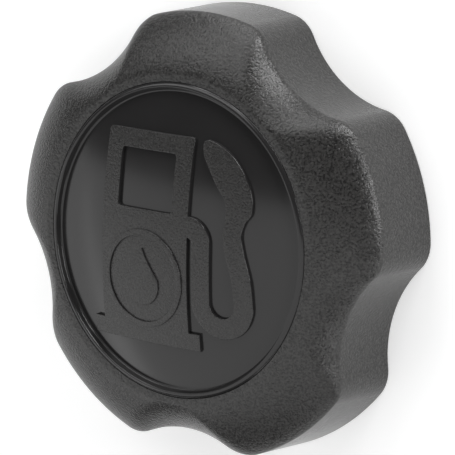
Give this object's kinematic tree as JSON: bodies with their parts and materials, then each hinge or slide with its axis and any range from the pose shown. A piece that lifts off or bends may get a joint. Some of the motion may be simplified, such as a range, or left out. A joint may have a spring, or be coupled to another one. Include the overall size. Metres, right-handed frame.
{
  "type": "fuel filler cap",
  "caption": "Round black lobed fuel filler cap with a ratcheting grip, a glossy domed face insert, a threaded inner closure, a gasket and a spring-loaded vent valve.",
  "frame": {"origin": "on the cap's axis, in the plane of the grip's open rim, 0.4 mm outside the closure's mouth", "axes": "+Z along the cap's axis, out of the face; +Y through the middle of one lobe and up the face's sign"},
  "size_m": [0.091, 0.0885, 0.0258],
  "materials": {
    "grip_plastic": "moulded black, fine grain",
    "insert_plastic": "moulded black, smooth floor",
    "closure_plastic": "moulded black, satin",
    "ratchet_plastic": "natural white, satin",
    "gasket_rubber": "moulded rubber",
    "spring_steel": "drawn wire",
    "plate_steel": "pressed sheet",
    "filter_foam": "open-cell foam"
  },
  "bodies": {
    "closure": {"threaded_closure": "closure_plastic", "neck_gasket": "gasket_rubber", "valve_housing": "closure_plastic", "housing_seal": "gasket_rubber", "spring_retainer": "ratchet_plastic", "pressure_spring": "spring_steel", "vent_filter": "filter_foam"},
    "grip": {"grip_cover": "grip_plastic", "face_insert": "insert_plastic", "wave_spring": "spring_steel"},
    "ratchet": {"ratchet_ring": "ratchet_plastic"},
    "pressure_valve": {"pressure_plate": "plate_steel", "pressure_seal": "gasket_rubber", "vacuum_spring": "spring_steel"},
    "vacuum_valve": {"vacuum_poppet": "ratchet_plastic", "stem_clip": "plate_steel"}
  },
  "joints": [
    {"name": "grip_turn", "type": "hinge", "parent": "closure", "child": "grip", "pos_m": [0, 0, 0], "axis": [0, 0, 1], "range_deg": [-360, 0]},
    {"name": "ratchet_lift", "type": "slide", "parent": "grip", "child": "ratchet", "axis": [0, 0, 1], "range_m": [0, 0.001], "stiffness_N_per_m": 2000, "springref_m": -0.003, "deforming": ["wave_spring"]},
    {"name": "pressure_lift", "type": "slide", "parent": "closure", "child": "pressure_valve", "axis": [0, 0, 1], "range_m": [0, 0.001], "stiffness_N_per_m": 800, "springref_m": -0.0015, "deforming": ["pressure_spring"]},
    {"name": "vacuum_drop", "type": "slide", "parent": "pressure_valve", "child": "vacuum_valve", "axis": [0, 0, -1], "range_m": [0, 0.0006], "stiffness_N_per_m": 80, "springref_m": -0.001, "deforming": ["vacuum_spring"]}
  ]
}
